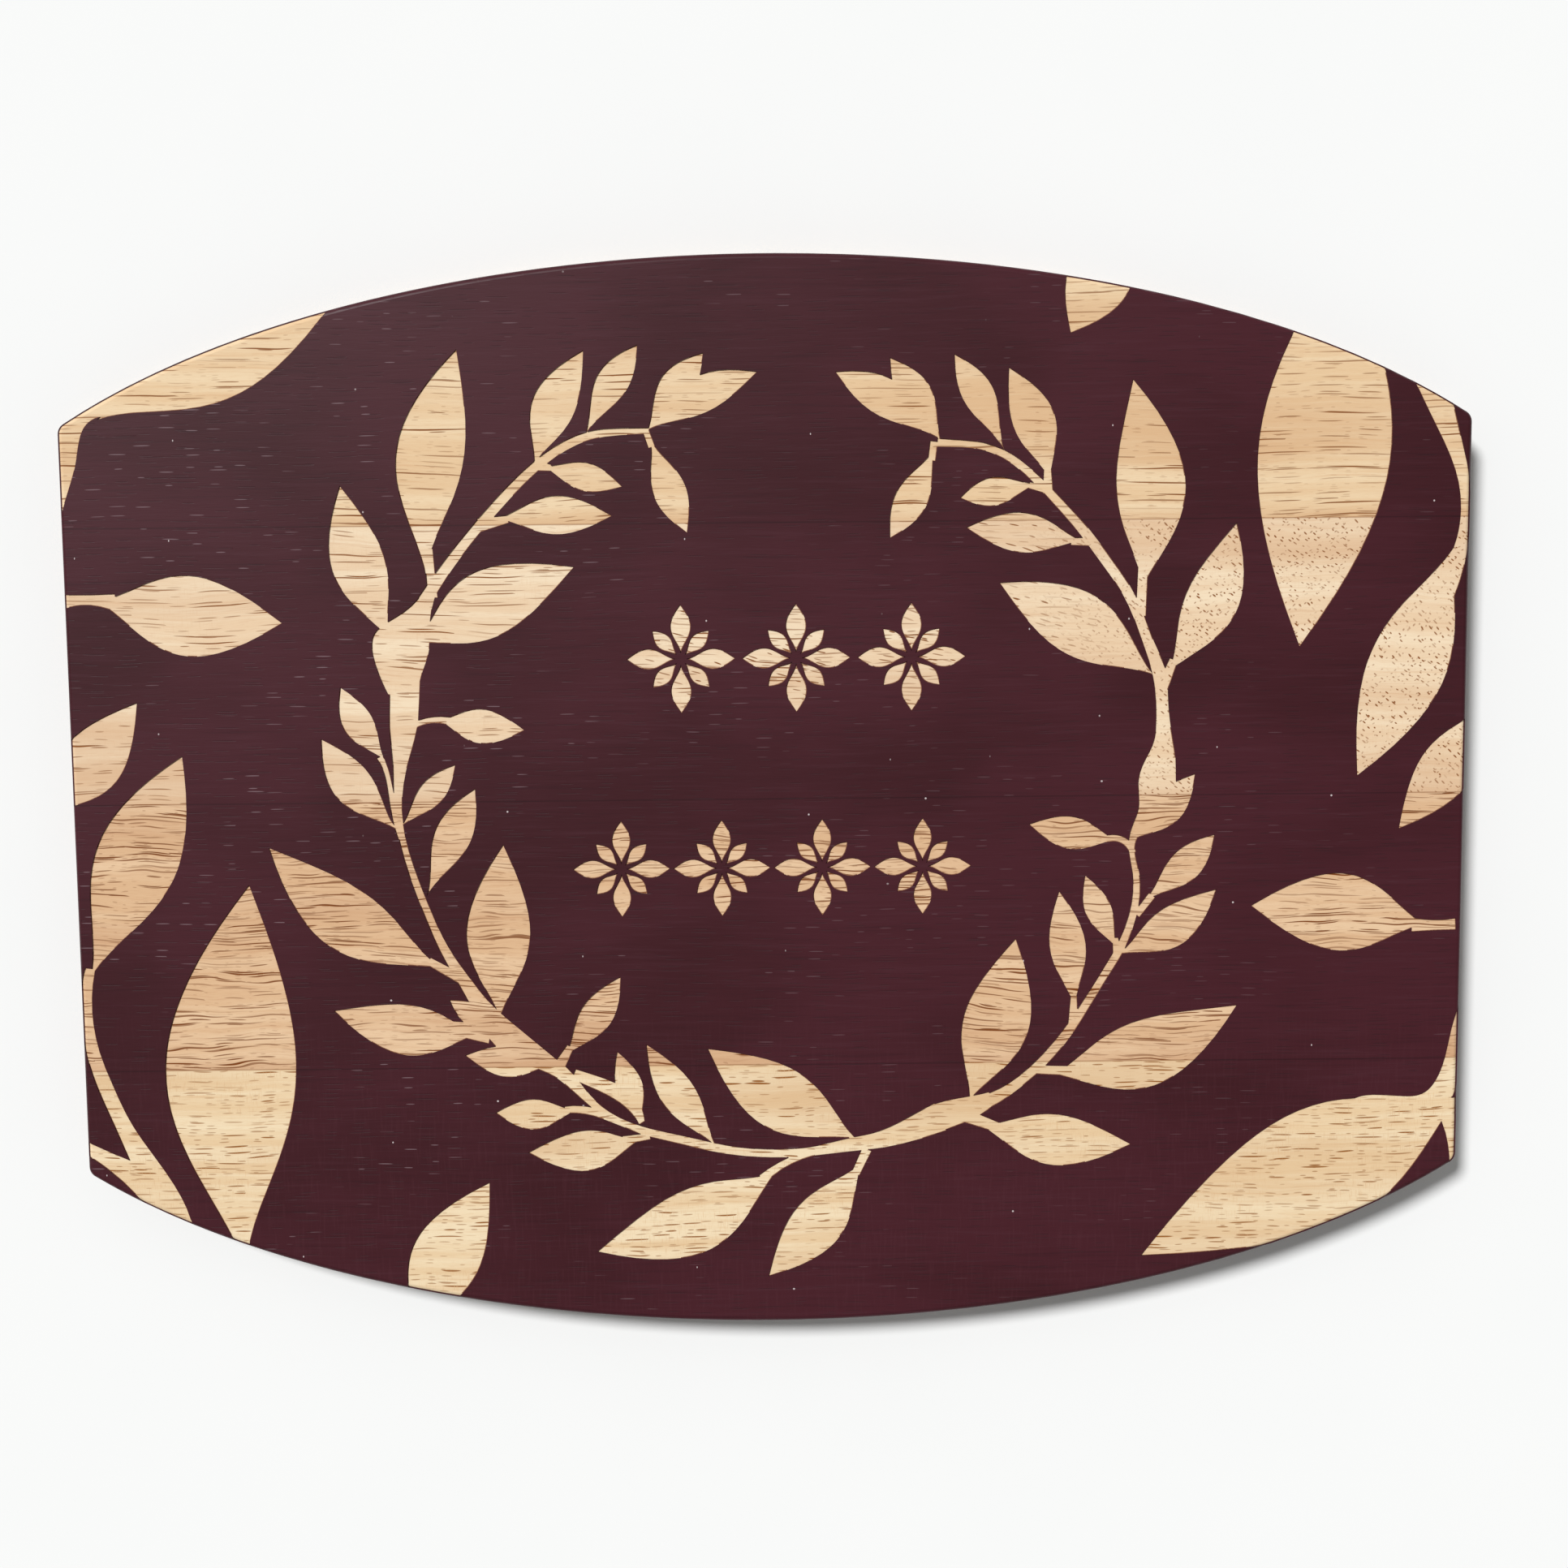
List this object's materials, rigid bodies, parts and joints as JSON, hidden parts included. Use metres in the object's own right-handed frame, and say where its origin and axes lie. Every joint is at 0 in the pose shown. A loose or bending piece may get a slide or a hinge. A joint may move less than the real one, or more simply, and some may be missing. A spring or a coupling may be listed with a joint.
{
  "type": "wooden plaque",
  "caption": "Arched wooden plaque, stained dark over edge-glued staves, with a bare engraved leaf wreath, rubber feet and keyhole hangers on its back.",
  "frame": {"origin": "on the surface that the four rubber feet stand on, under the middle of the board", "axes": "+X towards the right-hand side of the design, +Y towards its top, +Z out of the stained face"},
  "size_m": [0.401, 0.3096, 0.019],
  "materials": {
    "stained_wood": "burgundy stain, satin",
    "pale_wood": "planed and oiled",
    "rubber": "matt black",
    "zinc_steel": "zinc plated",
    "black_steel": "black lacquer"
  },
  "bodies": {
    "root": {"stain_coat": "stained_wood", "stave_1": "pale_wood", "stave_2": "pale_wood", "stave_3": "pale_wood", "stave_4": "pale_wood", "rubber_foot_1": "rubber", "rubber_foot_2": "rubber", "rubber_foot_3": "rubber", "rubber_foot_4": "rubber", "foot_washers": "zinc_steel", "foot_screws": "zinc_steel", "hanger_left": "black_steel", "hanger_right": "black_steel", "hanger_screws": "zinc_steel"}
  },
  "joints": []
}
